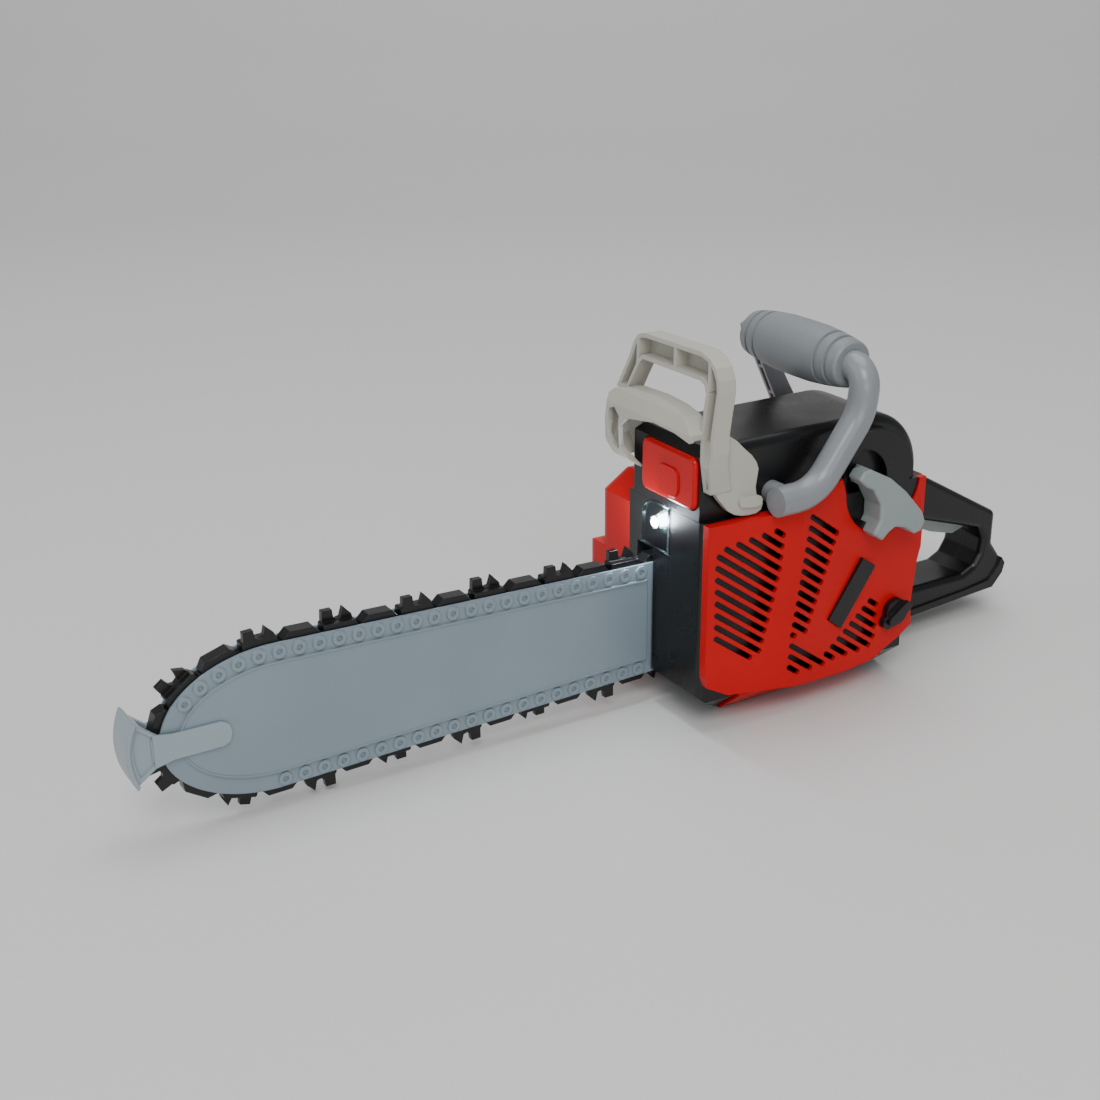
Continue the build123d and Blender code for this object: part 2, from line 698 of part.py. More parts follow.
# Cells under the body: tray, two AA cells, spring contacts, door and its screw
cell_r = 7.1
cell_length = 48.5
cell_y = (-15.2, 0.0)
cell_z = 11.2
cell_x = -2.6
tray_x = (-4.5, 49.6)
with BuildPart() as battery_box:
    with BuildSketch(Plane.XY.offset(2.6)):
        with Locations((sum(tray_x) / 2, sum(door_y) / 2)):
            Rectangle(tray_x[1] - tray_x[0], door_y[1] - door_y[0] + 1)
    extrude(amount=17.6)
    with BuildSketch(Plane.XY.offset(2.6)):
        with Locations((sum(tray_x) / 2, sum(door_y) / 2)):
            Rectangle(tray_x[1] - tray_x[0] - 2, door_y[1] - door_y[0] - 1)
    extrude(amount=16, mode=Mode.SUBTRACT)
save(battery_box.part, "battery_box")

with BuildPart() as batteries:
    for turned, y in zip((False, True), cell_y):
        body_x = cell_x + (1.5 if turned else 0)
        with BuildSketch(Plane.YZ.offset(body_x)):
            with Locations((y, cell_z)):
                Circle(cell_r)
        extrude(amount=cell_length)
        nub_x = body_x - 1.5 if turned else body_x + cell_length
        with BuildSketch(Plane.YZ.offset(nub_x)):
            with Locations((y, cell_z)):
                Circle(2.6)
        extrude(amount=1.5)
save(batteries.part, "batteries")

with BuildPart() as battery_contacts:
    for x in (tray_x[0] + 1.2, tray_x[1] - 1.9):
        with BuildSketch(Plane.YZ.offset(x)):
            with Locations((cell_y[0], cell_z), (cell_y[1], cell_z)):
                Rectangle(9, 9)
        extrude(amount=0.4)
save(battery_contacts.part, "battery_contacts")

door_screw = (45.0, -7.5)
with BuildPart() as battery_door:
    with BuildSketch(Plane.XY.offset(0.5)):
        with Locations((sum(door_x) / 2, sum(door_y) / 2)):
            RectangleRounded(door_x[1] - door_x[0], door_y[1] - door_y[0], 2)
        with Locations(door_screw):
            Circle(1.5, mode=Mode.SUBTRACT)
    extrude(amount=1.7)
    with BuildSketch(Plane.XY.offset(0.5)):
        with GridLocations(6, 1, 5, 1):
            with Locations((21, -7.5)):
                SlotOverall(18, 2, rotation=90)
    extrude(amount=0.6, mode=Mode.SUBTRACT)
save(battery_door.part, "battery_door")

with BuildPart() as door_screw_piece:
    with BuildSketch(Plane.XY.offset(0.1)):
        with Locations(door_screw):
            Circle(2.6)
            Rectangle(4, 0.8, mode=Mode.SUBTRACT)
    extrude(amount=0.4)
    with BuildSketch(Plane.XY.offset(0.5)):
        with Locations(door_screw):
            Circle(1.4)
    extrude(amount=1.9)
save(door_screw_piece.part, "battery_door_screw")

# Sound: speaker behind the starter cover's slots, and the circuit board
with BuildPart() as speaker:
    with BuildSketch(side(left_y + wall + 0.2)):
        with Locations((-34, 56)):
            Circle(14)
    extrude(amount=-2)
    with BuildSketch(side(left_y + wall + 2.2)):
        with Locations((-34, 56)):
            Circle(8)
    extrude(amount=-4)
save(speaker.part, "speaker")

with BuildPart() as circuit_board:
    with BuildSketch(side(left_y + wall + 1)):
        with Locations((10, 62)):
            Rectangle(48, 36)
    extrude(amount=-1.4)
    with BuildSketch(side(left_y + wall + 2.4)):
        with Locations((0, 58), (14, 68), (26, 54)):
            Rectangle(8, 6)
    extrude(amount=-3)
save(circuit_board.part, "circuit_board")

# Rear handle: two halves of a closed grip that flares at its foot
handle_outline = [
    (rear_x + gap, 7.5), (82.7, 9.2), (116.9, 11.4), (135.5, 12.4), (141.3, 18.5), (142.6, 23.4),
    (133.9, 34.9), (133.9, 50.6), (rear_x + gap, 93.4),
]
foot_lip = [
    (60, 8.2), (82.7, 9.2), (116.9, 11.4), (134.8, 12.4), (140.6, 18.7), (141.8, 23.4), (139.6, 26.6),
    (137.6, 22.5), (132.5, 16.6), (116.9, 14.6), (82.7, 12.4), (60, 11.4),
]
trigger_slot = [
    (81.5, 69.5), (81.5, 52), (98, 45), (125.6, 39), (126.2, 52.4), (121, 56), (108, 62.8), (98, 68.4), (92, 69.8),
]
trigger_outline = [
    (85, 62), (92, 63.5), (105, 58.2), (108.5, 54), (115.5, 54), (119, 50.4), (122.5, 45.5), (122.8, 42.3),
    (116, 40.3), (101.6, 44.2), (92, 48.5), (85.6, 56),
]
hand_hole = [
    (65, 22.5), (116, 22.5), (122.5, 25.5), (126, 31), (127, 38), (124, 43.8), (109, 48.7), (88.7, 55), (65, 61.5),
]


def hand_hole_face():
    """Rounded outline of the opening for the fingers."""
    with BuildSketch() as hole:
        Polygon(*hand_hole, align=None)
        fillet(vertices(), radius=3)
    return hole.sketch


def handle_shell(right):
    """One half of the rear handle, solid but for the trigger's slot and the switch's bay."""
    sign = 1 if right else -1
    with BuildPart() as shell:
        with BuildSketch(side(0)):
            Polygon(*handle_outline, align=None)
            fillet(vertices().filter_by(lambda v: v.X > 133), radius=3.2)
            add(hand_hole_face(), mode=Mode.SUBTRACT)
        extrude(amount=-sign * handle_half)
        fillet(shell.edges().group_by(Axis.Y)[-1 if right else 0], radius=3)
        with BuildSketch(side(0)):
            Polygon(*foot_lip, align=None)
        extrude(amount=-sign * (handle_half + 1))
        with BuildSketch(side(0)):
            Polygon(*trigger_slot, align=None)
        extrude(amount=-sign * (trigger_half + gap), mode=Mode.SUBTRACT)
        with BuildSketch(side(0)):
            with Locations(trigger_pivot):
                Circle(1.5)
        extrude(amount=-sign * 8, mode=Mode.SUBTRACT)
        if right:
            for x, y, z in handle_screw_spots:
                with BuildSketch(side(y)):
                    with Locations((x, z)):
                        Circle(screw_head_r + 0.1)
                extrude(amount=2, mode=Mode.SUBTRACT)
                with BuildSketch(side(y)):
                    with Locations((x, z)):
                        Circle(screw_shank_r)
                extrude(amount=9, mode=Mode.SUBTRACT)
    return shell.part


save(handle_shell(False), "rear_handle_left")
save(handle_shell(True), "rear_handle_right")

# Trigger: a lever on a pin at its front end, with a spring and a switch above it
with BuildPart() as trigger:
    with BuildSketch(side(-trigger_half)):
        Polygon(*trigger_outline, align=None)
        with Locations(trigger_pivot):
            Circle(3.4)
            Circle(1.5 + running, mode=Mode.SUBTRACT)
    extrude(amount=-2 * trigger_half)
save(trigger.part, "trigger")

with BuildPart() as trigger_pin:
    with BuildSketch(side(-8)):
        with Locations(trigger_pivot):
            Circle(1.5)
    extrude(amount=-16)
save(trigger_pin.part, "trigger_pin")

spring_x = 112.0
spring_low = 54.0
spring_high = 59.7
with BuildPart() as trigger_spring:
    with BuildLine():
        Helix(pitch=(spring_high - spring_low - 0.6) / 2.5, height=spring_high - spring_low - 0.6,
              radius=1.9, center=(spring_x, 0, spring_low + 0.3))
    with BuildSketch(Plane(origin=(spring_x + 1.9, 0, spring_low + 0.3), z_dir=(0, 1, 0.1))):
        Circle(0.28)
    sweep()
save(trigger_spring.part, "trigger_spring")

with BuildPart() as trigger_switch:
    with BuildSketch(side(-trigger_half)):
        with Locations((95, 66)):
            Rectangle(8, 3.2)
        with Locations((95, 64.3)):
            Rectangle(2, 0.3)
    extrude(amount=-2 * trigger_half)
save(trigger_switch.part, "trigger_switch")

# Hand guard: a frame moulded as a channel that is open to the front, with a bulging shield below
frame_front = [
    (-42.2, 105), (-45.5, 122), (-45.5, 146.5), (-44.6, 151.5), (-42.2, 155.8), (-38.4, 159), (-33, 160.5),
    (6, 159.6), (10, 158.4), (13, 155), (22.5, 134), (14.5, 134), (8.4, 147), (6.4, 148.7), (-33, 149.2),
    (-35.6, 148), (-37.2, 145), (-37.4, 105),
]
frame_side = [
    (-56.6, 104), (-58.7, 118), (-58.7, 130), (-56.3, 148), (-56, 163), (-48, 163), (-48.4, 148),
    (-50.8, 130), (-50.7, 118), (-46, 104),
]
shield_side = [
    (-54, 138.2), (-58.6, 138.2), (-62, 135), (-64.6, 129.6), (-65.8, 122), (-65.4, 114), (-63.4, 107.6),
    (-58, 103.6), (-52, 103.6),
]
shield_inside = [
    (-50, 139), (-59.4, 139), (-60.8, 133.4), (-62.6, 128.4), (-63.6, 121.6), (-63.2, 114.6), (-61.4, 109.4),
    (-58.8, 105.4), (-58.5, 100), (-50, 100),
]
lip = [(-38.6, 129.4), (-35.3, 131.8), (-30.2, 134.8), (-21.7, 136.7), (-8.8, 137.5), (9, 136.7), (18.2, 134.7)]
shield_front = lip + [
    (21.8, 131.6), (22.6, 127.6), (22.4, 120), (21, 113.6), (17, 108), (10, 105.4), (2, 104.6), (9.4, 112),
    (9.5, 121.4), (5, 125.5), (-14, 128.6), (-28, 128.2), (-38.6, 126.6),
]
shield_opening = [(y, z - 2.2) for y, z in lip] + [
    (19.6, 130), (20.4, 127), (20.2, 120.2), (18.8, 114.6), (15.6, 109.6), (9, 100), (-39, 100),
]
shield_plan = [(-52, -39), (-70, -39), (-70, 8), (-70, 15.5), (-66.5, 19.3), (-61, 21.6), (-52, 22.6)]
scoop_front = [(9.9, 125), (9.9, 112.4), (12, 110.2), (15.4, 112), (17.6, 115.6), (18.6, 121), (18, 126.6), (14, 128)]
scoop_back = [(9.5, 128), (9.5, 109.4), (11, 108), (16.8, 109.6), (20.2, 114.4), (21.2, 121), (20.4, 128)]
skirt_side = [(-55, 133), (-49.4, 131), (-44.8, 125), (-43.4, 117.6), (-45.4, 110.4), (-50, 106), (-55, 104.2)]
lug_side = [
    (-56.5, 107), (-56.5, 115.2), (-50, 113), (-36, 103), (-31.6, 99), (-31.8, 95.5), (-34, 93.4),
    (-38, 93.2), (-46, 97), (-56, 103),
]
plate_side = [
    (-56.6, 109.5), (-54.8, 105.6), (-52, 101.6), (-47.6, 96.4), (-44.6, 94.4), (-41, 93.2), (-37, 92.7),
    (-33.4, 92.8), (-31, 94), (-30.2, 96.4), (-31.4, 98.6), (-33.6, 100.8), (-34.2, 104), (-33.1, 111.6),
    (-34.2, 114.6), (-36.6, 117.8), (-40.4, 121.2), (-44.2, 125), (-48, 127.7), (-52, 128.6), (-57, 126), (-58, 116),
]

with BuildPart() as guard_recess:
    with BuildSketch(Plane.YZ.offset(-62)):
        Polygon(*frame_front, align=None)
        offset(amount=-1.8, mode=Mode.REPLACE)
        for y in (-38.3, -15.5, 10.2):
            with Locations((y, 154)):
                Rectangle(1.6, 16, mode=Mode.SUBTRACT)
    extrude(amount=20)
    with BuildSketch(side(-50)):
        Polygon(*[(x - 1.9, z) for x, z in frame_side], align=None)
    extrude(amount=-90, mode=Mode.INTERSECT)

with BuildPart() as shield_hollow:
    with BuildSketch(side(-40)):
        Polygon(*shield_inside, align=None)
    extrude(amount=-70)
    with BuildSketch(Plane.YZ.offset(-70)):
        Polygon(*shield_opening, align=None)
    extrude(amount=22, mode=Mode.INTERSECT)
    with BuildSketch(Plane.XY.offset(98)):
        Polygon(*[(x + 0.6, y - 2.2) for x, y in shield_plan[2:]], (-48, 20), (-48, -42), (-72, -42), align=None)
    extrude(amount=44, mode=Mode.INTERSECT)

with BuildPart() as shield:
    with BuildSketch(side(-39)):
        Polygon(*shield_side, align=None)
    extrude(amount=-62)
    with BuildSketch(Plane.YZ.offset(-70)):
        Polygon(*shield_front, align=None)
    extrude(amount=18, mode=Mode.INTERSECT)
    with BuildSketch(Plane.XY.offset(98)):
        Polygon(*shield_plan, align=None)
    extrude(amount=44, mode=Mode.INTERSECT)
    add(shield_hollow.part, mode=Mode.SUBTRACT)
    # Scoop on the right: open to the front, with a back wall
    with BuildSketch(Plane.YZ.offset(-54)):
        Polygon(*scoop_back, align=None)
    extrude(amount=1.6)
    with BuildSketch(Plane.YZ.offset(-70)):
        Polygon(*scoop_front, align=None)
    extrude(amount=16, mode=Mode.SUBTRACT)
    # Skirt along the right side of the neck
    with BuildSketch(side(20.4)):
        Polygon(*skirt_side, align=None)
    extrude(amount=-2.1)

with BuildPart() as hand_guard:
    with BuildSketch(Plane.YZ.offset(-60)):
        Polygon(*frame_front, align=None)
    extrude(amount=16)
    with BuildSketch(side(-50)):
        Polygon(*frame_side, align=None)
    extrude(amount=-90, mode=Mode.INTERSECT)
    add(guard_recess.part, mode=Mode.SUBTRACT)
    add(shield.part)
    # Left plate with its pivot boss, and the right lug
    with BuildSketch(side(-41.9)):
        Polygon(*plate_side, align=None)
    extrude(amount=-3)
    with BuildSketch(side(-43.3)):
        with Locations(Location((-37.2, 98.9, 0), (0, 0, -8))):
            SlotOverall(11.5, 4.8)
    extrude(amount=-1.6)
    with BuildSketch(side(9.3)):
        Polygon(*lug_side, align=None)
    extrude(amount=-2.2)
    with BuildSketch(side(-42.5)):
        with Locations(guard_pivot):
            Circle(guard_pin_r + running)
    extrude(amount=-60, mode=Mode.SUBTRACT)
save(hand_guard.part, "hand_guard")

# Two pins fixed in the neck's walls carry the guard: a blind one on the left, a headed one on the right
with BuildPart() as guard_pins:
    with BuildSketch(side(neck_left + wall)):
        with Locations(guard_pivot):
            Circle(guard_pin_r)
    extrude(amount=7.2)
    with BuildSketch(side(neck_right - wall)):
        with Locations(guard_pivot):
            Circle(guard_pin_r)
    extrude(amount=-5.2)
    with BuildSketch(side(neck_right - wall + 5.2)):
        with Locations(guard_pivot):
            Circle(3.4)
    extrude(amount=-1.2)
save(guard_pins.part, "guard_pins")

# Front handle: a tube from the lug on the neck over the top, and an open ribbed leg on the right
tube_points = [
    (-29, tube_left_y, 98.6), (-9.5, tube_left_y, 98.6), (12.9, tube_left_y, 128.8),
    (grip_x, tube_left_y, grip_z), (grip_x, tube_right_y - 5, grip_z),
]
leg_side = [
    (11, 143.4), (15.6, 138.4), (28, 113), (30.5, 94), (44, 94), (39.5, 111.4), (25, 136.5), (20.2, 144.5),
    (19.4, 149.4), (14.5, 152.2), (9.8, 149.8),
]
leg_y = (23.1, 28.3)

with BuildPart() as front_handle:
    with BuildLine():
        FilletPolyline(*tube_points, radius=(20, 22, 8.4))
    with BuildSketch(Plane(origin=tube_points[0], z_dir=(1, 0, 0))):
        Circle(tube_r)
    sweep()
    with BuildSketch(side(tube_left_y)):
        with Locations((-22.5, 98.6)):
            Circle(4.8)
    extrude(amount=tube_left_y - neck_left)
    with BuildSketch(side(leg_y[0])):
        Polygon(*leg_side, align=None)
    extrude(amount=leg_y[0] - leg_y[1])
    with BuildSketch(side(leg_y[0] + 1.6)):
        Polygon((0, 131), (17.5, 129), (27, 109), (29, 96), (42, 96), (37, 110.5), (23, 133), (14, 137), (0, 137),
                align=None)
        for x, z in ((22, 131), (28, 118)):
            with Locations(Location((x, z, 0), (0, 0, 30))):
                Rectangle(40, 1.6, mode=Mode.SUBTRACT)
    extrude(amount=leg_y[0] - leg_y[1] + 3.2, mode=Mode.SUBTRACT)
save(front_handle.part, "front_handle")

# Barrel grip sleeved on the tube, with two grooves at each end
grip_half = [
    (-40, 8.8), (-39, 9.8), (-35.2, 10.5), (-34.9, 9.7), (-33.7, 9.7), (-33.4, 10.8), (-29.4, 11.3),
    (-29.1, 10.5), (-27.9, 10.5), (-27.6, 11.5), (-19, 12.2), (-10, 12.3),
]
with BuildPart() as front_grip:
    with BuildSketch(Plane.YZ.offset(grip_x)):
        right_half = [(-17.2 - y, r) for y, r in reversed(grip_half)]
        outline = [(y, grip_z + r) for y, r in grip_half + right_half]
        Polygon((grip_half[0][0], grip_z + tube_r), *outline, (right_half[-1][0], grip_z + tube_r), align=None)
    revolve(axis=Axis((grip_x, 0, grip_z), (0, 1, 0)))
save(front_grip.part, "front_grip")

# Starter: a black dish in the cover's round recess, the pull, its line's reel and axle
with BuildPart() as starter_dish:
    with BuildSketch(side(left_y)):
        with Locations(dish_centre):
            Circle(dish_r - 0.1)
        with Locations((0, core_top + 30)):
            Rectangle(200, 60, mode=Mode.SUBTRACT)
    extrude(amount=2.6)
    with BuildSketch(side(neck_left)):
        with Locations(boss_centre):
            Circle(boss_r)
        with Locations((0, core_top - 50)):
            Rectangle(200, 100, mode=Mode.SUBTRACT)
        Polygon((-5, 90), (11.4, 90), (11.4, 102), (-5, 102), align=None, mode=Mode.SUBTRACT)
        Polygon((48, 90), (60, 90), (60, 99), (48, 93), align=None, mode=Mode.SUBTRACT)
    extrude(amount=neck_left - left_y + 2.6)
    # Bowl round the pull's stem
    with BuildSketch(side(left_y - 2.6)):
        with Locations((20, 95)):
            Circle(15)
        with Locations(dish_centre):
            Circle(dish_r - 1.6, mode=Mode.INTERSECT)
        with Locations((0, core_top - 50)):
            Rectangle(200, 100, mode=Mode.SUBTRACT)
    extrude(amount=-4, mode=Mode.SUBTRACT)
    with BuildSketch(side(left_y - 5)):
        with Locations(pull_stem):
            Circle(stem_r + gap)
    extrude(amount=-6, mode=Mode.SUBTRACT)
save(starter_dish.part, "starter_dish")

pull_outline = [
    (9.9, 101.7), (12.3, 104.7), (16.5, 105.2), (27.8, 99.2), (36.8, 91.7), (46.2, 81.4), (48.4, 76.5),
    (46, 72.4), (42.6, 71.8), (37.2, 75.6), (31.5, 77.2), (27.8, 75.3), (24.8, 72.4), (19.5, 76.1),
    (22.9, 81.7), (22.8, 88.3), (18.4, 95.7), (14.5, 97.8),
]
with BuildPart() as starter_pull:
    with BuildSketch(side(-54)):
        Polygon(*pull_outline, align=None)
        fillet(vertices(), radius=1)
    extrude(amount=-7.4)
    fillet(starter_pull.edges().group_by(Axis.Y)[0], radius=1.5)
    with BuildSketch(side(-47)):
        Polygon(*pull_outline, align=None)
        with Locations(dish_centre):
            Circle(dish_r - 3.2, mode=Mode.INTERSECT)
    extrude(amount=-4)
    with BuildSketch(side(-50)):
        with Locations(pull_stem):
            Circle(stem_r)
    extrude(amount=-20)
save(starter_pull.part, "starter_pull")

reel_r = 11.0
reel_centre = (pull_stem[0], -22.0, pull_stem[1] - reel_r)
with BuildPart() as starter_reel:
    with BuildSketch(Plane.YZ.offset(reel_centre[0] - 3)):
        with Locations((reel_centre[1], reel_centre[2])):
            Circle(reel_r)
            Circle(1.5 + running, mode=Mode.SUBTRACT)
            with PolarLocations(6.5, 6):
                Circle(1.6, mode=Mode.SUBTRACT)
    extrude(amount=6)
    with BuildSketch(Plane.YZ.offset(reel_centre[0] - 1.5)):
        with Locations((reel_centre[1], reel_centre[2])):
            Circle(reel_r + 1)
            Circle(reel_r - 1.5, mode=Mode.SUBTRACT)
    extrude(amount=3, mode=Mode.SUBTRACT)
save(starter_reel.part, "starter_reel")

with BuildPart() as reel_axle:
    with BuildSketch(Plane.YZ.offset(reel_centre[0] - 6)):
        with Locations((reel_centre[1], reel_centre[2])):
            Circle(1.5)
    extrude(amount=rear_x - wall - reel_centre[0] + 6)
save(reel_axle.part, "reel_axle")

# Filler cap: a knob with a lobed grip, turning on a stem in the starter cover
with BuildPart() as filler_cap:
    with BuildSketch(side(-44.3)):
        with Locations(cap_centre):
            Circle(6)
        with Locations((cap_centre[0] - 4.6, cap_centre[1] - 4)):
            Circle(3)
    extrude(amount=3)
    with BuildSketch(side(-47.3)):
        with Locations(Location((*cap_centre, 0), (0, 0, 35))):
            SlotOverall(14, 4.4)
    extrude(amount=2.4)
    with BuildSketch(side(-44.3)):
        with Locations(cap_centre):
            Circle(stem_r)
    extrude(amount=-3.5)
save(filler_cap.part, "filler_cap")

with BuildPart() as cover_screws:
    for x, y, z in cover_screw_spots + handle_screw_spots:
        with BuildSketch(side(y - 2)):
            with Locations((x, z)):
                Circle(screw_head_r)
                Rectangle(4, 0.7, mode=Mode.SUBTRACT)
                Rectangle(0.7, 4, mode=Mode.SUBTRACT)
        extrude(amount=-1.5)
        with BuildSketch(side(y - 9)):
            with Locations((x, z)):
                Circle(screw_shank_r)
        extrude(amount=-7)
save(cover_screws.part, "cover_screws")
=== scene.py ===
import json
import math

import bpy
from mathutils import Matrix, Vector

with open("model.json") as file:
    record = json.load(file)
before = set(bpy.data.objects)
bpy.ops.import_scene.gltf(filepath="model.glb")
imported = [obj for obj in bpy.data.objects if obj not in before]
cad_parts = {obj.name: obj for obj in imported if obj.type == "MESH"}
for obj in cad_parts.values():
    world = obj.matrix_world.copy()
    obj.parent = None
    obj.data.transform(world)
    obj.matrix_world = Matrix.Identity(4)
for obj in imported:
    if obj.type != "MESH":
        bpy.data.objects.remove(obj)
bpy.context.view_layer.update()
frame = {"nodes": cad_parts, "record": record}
nodes = frame["nodes"]

# Where the camera stands, in metres, and how it is turned: at the front left of the bar, above it
EYE = Vector((-0.43134, -0.53732, 0.33042))
TURN, RISE, ROLL = math.radians(-31.293), math.radians(21.868), math.radians(-0.398)
FOCAL_LENGTH, SENSOR_WIDTH = 54.99, 36

# The middle of the toy, where the larger lamps point, and the LED behind the lens
TOY_MIDDLE = (-0.05, 0, 0.05)
LED_PLACE = (-0.0635, -0.0070, 0.0829)

# Grains per metre of the three noises on every plastic: tone, gloss and moulded grain
TONE_SCALE, GLOSS_SCALE, GRAIN_SCALE = 22, 60, 1800
RELIEF_DEPTH = 0.0002
EDGE_RADIUS = 0.0005

# The sweep's profile as distance from the toy and height, its half width, and how far it lies below the toy
SWEEP = [(-3.5, 0.0), (1.1, 0.0), (1.35, 0.03), (1.55, 0.12), (1.68, 0.28), (1.74, 0.5), (1.76, 2.6)]
SWEEP_HALF_WIDTH = 3.5
FLOOR_DROP = 0.0004


def add_camera():
    """Camera that looks the way TURN, RISE and ROLL say."""
    data = bpy.data.cameras.new("camera")
    data.sensor_width = SENSOR_WIDTH
    data.lens = FOCAL_LENGTH
    data.clip_start = 0.01
    camera = bpy.data.objects.new("camera", data)
    bpy.context.scene.collection.objects.link(camera)
    back = Vector((math.sin(TURN) * math.cos(RISE), -math.cos(TURN) * math.cos(RISE), math.sin(RISE)))
    right = Vector((math.cos(TURN), math.sin(TURN), 0))
    up = back.cross(right)
    across = math.cos(ROLL) * right + math.sin(ROLL) * up
    above = math.cos(ROLL) * up - math.sin(ROLL) * right
    camera.matrix_world = Matrix.Translation(EYE) @ Matrix((across, above, back)).transposed().to_4x4()
    bpy.context.scene.camera = camera


def new_material(name, color, roughness, **inputs):
    """Principled material with constants on the shader's own sockets."""
    material = bpy.data.materials.new(name)
    material.use_nodes = True
    shader = material.node_tree.nodes["Principled BSDF"]
    shader.inputs["Base Color"].default_value = (*color, 1)
    shader.inputs["Roughness"].default_value = roughness
    for key, value in inputs.items():
        shader.inputs[key.replace("_", " ")].default_value = value
    return material, shader


def add_noise(material, scale, detail, stretch=(1, 1, 1)):
    """Noise in object space, so that it sits on the piece."""
    tree = material.node_tree
    place = tree.nodes.new("ShaderNodeTexCoord")
    mapping = tree.nodes.new("ShaderNodeMapping")
    mapping.inputs["Scale"].default_value = stretch
    noise = tree.nodes.new("ShaderNodeTexNoise")
    noise.inputs["Scale"].default_value = scale
    noise.inputs["Detail"].default_value = detail
    tree.links.new(place.outputs["Object"], mapping.inputs["Vector"])
    tree.links.new(mapping.outputs["Vector"], noise.inputs["Vector"])
    return noise.outputs["Fac"]


def spread(material, source, low, high, target):
    """Maps a noise's 0.3 to 0.7 onto low to high at a shader input."""
    tree = material.node_tree
    ranged = tree.nodes.new("ShaderNodeMapRange")
    ranged.inputs["From Min"].default_value = 0.3
    ranged.inputs["From Max"].default_value = 0.7
    ranged.inputs["To Min"].default_value = low
    ranged.inputs["To Max"].default_value = high
    tree.links.new(source, ranged.inputs["Value"])
    tree.links.new(ranged.outputs["Result"], target)


def mottle(material, shader, source, first, second):
    """Colour that drifts between two tones."""
    tree = material.node_tree
    ramp = tree.nodes.new("ShaderNodeValToRGB")
    ramp.color_ramp.elements[0].position = 0.35
    ramp.color_ramp.elements[0].color = (*first, 1)
    ramp.color_ramp.elements[1].position = 0.65
    ramp.color_ramp.elements[1].color = (*second, 1)
    tree.links.new(source, ramp.inputs["Fac"])
    tree.links.new(ramp.outputs["Color"], shader.inputs["Base Color"])


def bump(material, shader, source, strength):
    """Fine relief from a noise, on softened edges."""
    tree = material.node_tree
    node = tree.nodes.new("ShaderNodeBump")
    soft = tree.nodes.new("ShaderNodeBevel")
    soft.samples = 4
    soft.inputs["Radius"].default_value = EDGE_RADIUS
    tree.links.new(soft.outputs["Normal"], node.inputs["Normal"])
    node.inputs["Strength"].default_value = strength
    node.inputs["Distance"].default_value = RELIEF_DEPTH
    tree.links.new(source, node.inputs["Height"])
    tree.links.new(node.outputs["Normal"], shader.inputs["Normal"])


def plastic(name, color, roughness, relief=0.08, drift=0.06, **inputs):
    """Moulded plastic: slow drift in tone, uneven gloss and a fine moulded grain."""
    material, shader = new_material(name, color, roughness, **inputs)
    darker, lighter = [c * (1 - drift) for c in color], [c * (1 + drift) for c in color]
    mottle(material, shader, add_noise(material, TONE_SCALE, 4), darker, lighter)
    gloss = add_noise(material, GLOSS_SCALE, 5)
    spread(material, gloss, roughness - 0.05, roughness + 0.06, shader.inputs["Roughness"])
    bump(material, shader, add_noise(material, GRAIN_SCALE, 3), relief)
    return material


def brushed_steel():
    """Bright metal with gloss that varies in fine streaks."""
    material, shader = new_material("steel", (0.55, 0.55, 0.56), 0.28, Metallic=1.0)
    streaks = add_noise(material, 400, 4, stretch=(1, 1, 20))
    spread(material, streaks, 0.2, 0.38, shader.inputs["Roughness"])
    return material


def clear_lens():
    """Slightly hazy clear plastic."""
    haze = {"Transmission_Weight": 1.0, "IOR": 1.2, "Specular_IOR_Level": 0.3}
    return new_material("lens", (0.56, 0.62, 0.72), 0.2, **haze)[0]


def lit_led():
    """The lit LED, a cold white."""
    material, shader = new_material("led_glow", (0.9, 0.95, 1.0), 0.2)
    shader.inputs["Emission Color"].default_value = (0.80, 0.90, 1.0, 1)
    shader.inputs["Emission Strength"].default_value = 45
    return material


def materials_by_slot():
    """One material for each material slot in the record."""
    red = {"drift": 0.04, "Specular_IOR_Level": 0.2}
    button = {"relief": 0.02, "Specular_IOR_Level": 0.25}
    bar = {"drift": 0.03, "Metallic": 0.1}
    handle = {"drift": 0.03, "Coat_Weight": 0.15}
    return {
        "red_plastic": plastic("red_plastic", (0.52, 0.0004, 0.002), 0.33, **red),
        "black_plastic": plastic("black_plastic", (0.006, 0.006, 0.0065), 0.3, Specular_IOR_Level=0.4),
        "bar_grey": plastic("bar_plastic", (0.21, 0.27, 0.31), 0.36, **bar),
        "guard_grey": plastic("guard_plastic", (0.43, 0.42, 0.365), 0.4, drift=0.03),
        "tip_grey": plastic("tip_plastic", (0.27, 0.33, 0.36), 0.38, drift=0.03),
        "grip_grey": plastic("grip_plastic", (0.19, 0.21, 0.22), 0.44, drift=0.04),
        "handle_grey": plastic("handle_plastic", (0.21, 0.225, 0.24), 0.32, **handle),
        "pull_grey": plastic("pull_plastic", (0.24, 0.28, 0.28), 0.38, drift=0.04),
        "trigger_grey": plastic("trigger_plastic", (0.26, 0.28, 0.28), 0.4),
        "button_red": plastic("button_plastic", (0.5, 0.0004, 0.002), 0.16, **button),
        "lens_clear": clear_lens(),
        "led_white": lit_led(),
        "steel": brushed_steel(),
        "gear_white": plastic("nylon", (0.72, 0.70, 0.64), 0.4),
        "board_green": plastic("board", (0.02, 0.12, 0.05), 0.3),
        "speaker_black": plastic("paper_black", (0.015, 0.015, 0.015), 0.6),
        "cell_wrap": plastic("cell_wrap", (0.03, 0.035, 0.04), 0.25),
    }


def dress_nodes():
    """Gives every node the material of its slot."""
    by_slot = materials_by_slot()
    for part in frame["record"]["subparts"]:
        materials = nodes[part["node"]].data.materials
        materials.clear()
        materials.append(by_slot[part["material_slot"]])


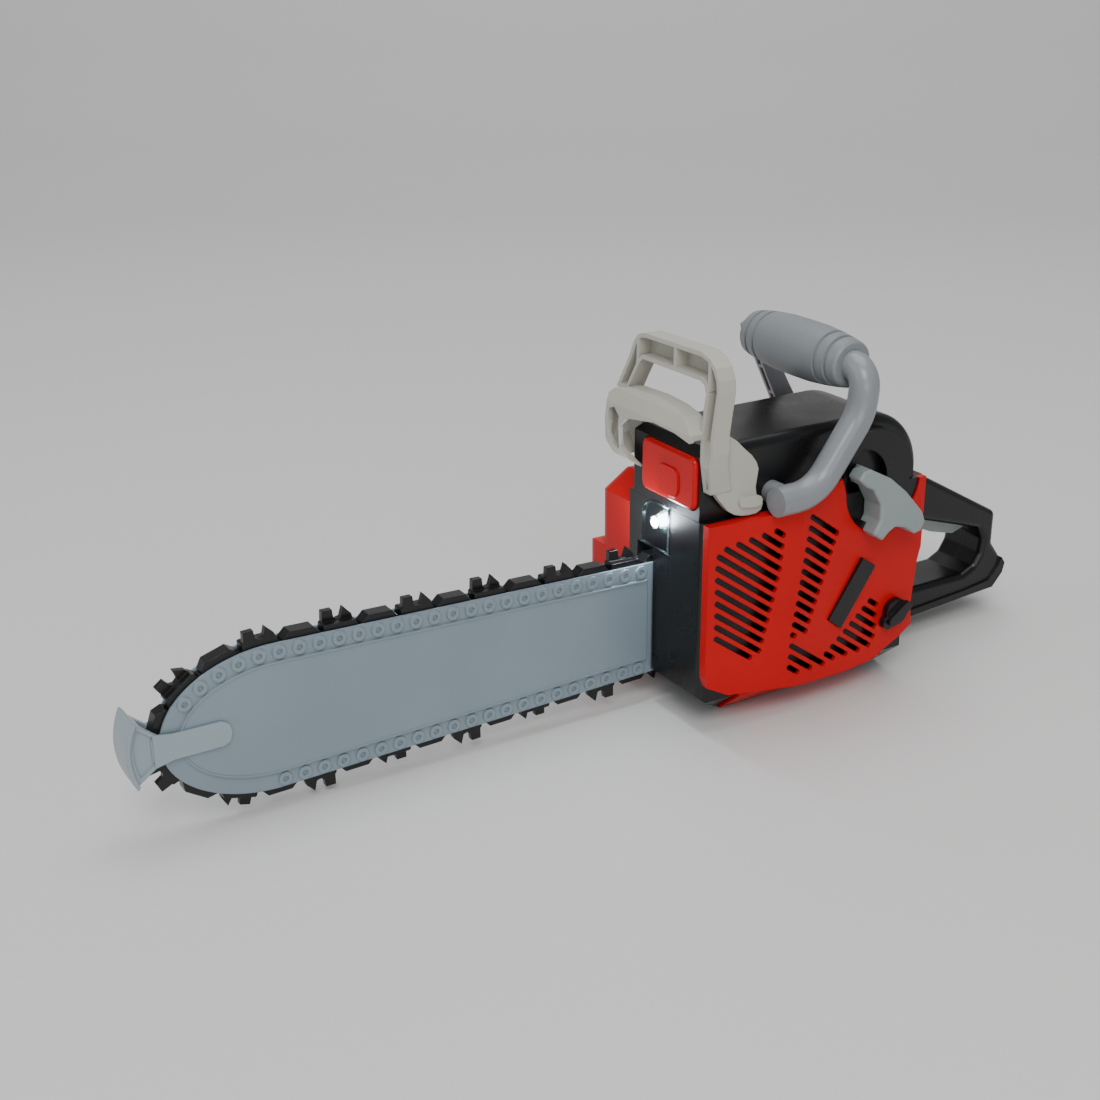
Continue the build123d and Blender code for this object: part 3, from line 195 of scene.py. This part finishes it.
def add_floor():
    """Pale floor that curves up into the backdrop."""
    mesh = bpy.data.meshes.new("floor")
    verts, faces = [], []
    for index, (depth, height) in enumerate(SWEEP):
        for side_way in (-SWEEP_HALF_WIDTH, SWEEP_HALF_WIDTH):
            verts.append((side_way, depth, height - FLOOR_DROP))
        if index:
            base = 2 * index
            faces.append((base - 2, base - 1, base + 1, base))
    mesh.from_pydata(verts, [], faces)
    mesh.materials.append(new_material("floor", (0.62, 0.62, 0.61), 0.6)[0])
    for polygon in mesh.polygons:
        polygon.use_smooth = True
    floor = bpy.data.objects.new("floor", mesh)
    floor.rotation_euler = (0, 0, TURN)
    bpy.context.scene.collection.objects.link(floor)


def area_light(name, place, target, size, power, color=(1, 1, 1)):
    """Soft rectangular lamp that looks at target."""
    data = bpy.data.lights.new(name, "AREA")
    data.shape = "RECTANGLE"
    data.size, data.size_y = size
    data.energy = power
    data.color = color
    lamp = bpy.data.objects.new(name, data)
    lamp.location = place
    lamp.rotation_euler = (Vector(place) - Vector(target)).to_track_quat("Z", "Y").to_euler()
    bpy.context.scene.collection.objects.link(lamp)


def glow_light(name, place, power, radius, color):
    """Small round lamp that throws the LED's light on what is near it."""
    data = bpy.data.lights.new(name, "POINT")
    data.energy = power
    data.color = color
    data.shadow_soft_size = radius
    lamp = bpy.data.objects.new(name, data)
    lamp.location = place
    bpy.context.scene.collection.objects.link(lamp)


def add_world(color, strength):
    """Even light from all round."""
    world = bpy.data.worlds.new("world")
    world.use_nodes = True
    background = world.node_tree.nodes["Background"]
    background.inputs["Color"].default_value = (*color, 1)
    background.inputs["Strength"].default_value = strength
    bpy.context.scene.world = world


add_camera()
dress_nodes()
add_floor()
area_light("key", (-0.9, -1.3, 1.7), TOY_MIDDLE, (1.2, 1.0), 27, (1.0, 0.985, 0.96))
area_light("fill", (-1.6, 0.3, 0.9), TOY_MIDDLE, (1.4, 1.2), 6, (0.95, 0.97, 1.0))
area_light("low_fill", (-0.5, -1.3, 0.35), (0, -0.02, 0.08), (0.9, 0.5), 4)
area_light("top", (0.2, 0.2, 1.9), (0, 0, 0.05), (1.6, 1.6), 24)
glow_light("lamp_glow", LED_PLACE, 0.06, 0.004, (0.82, 0.90, 1.0))
add_world((0.9, 0.93, 1.0), 0.27)
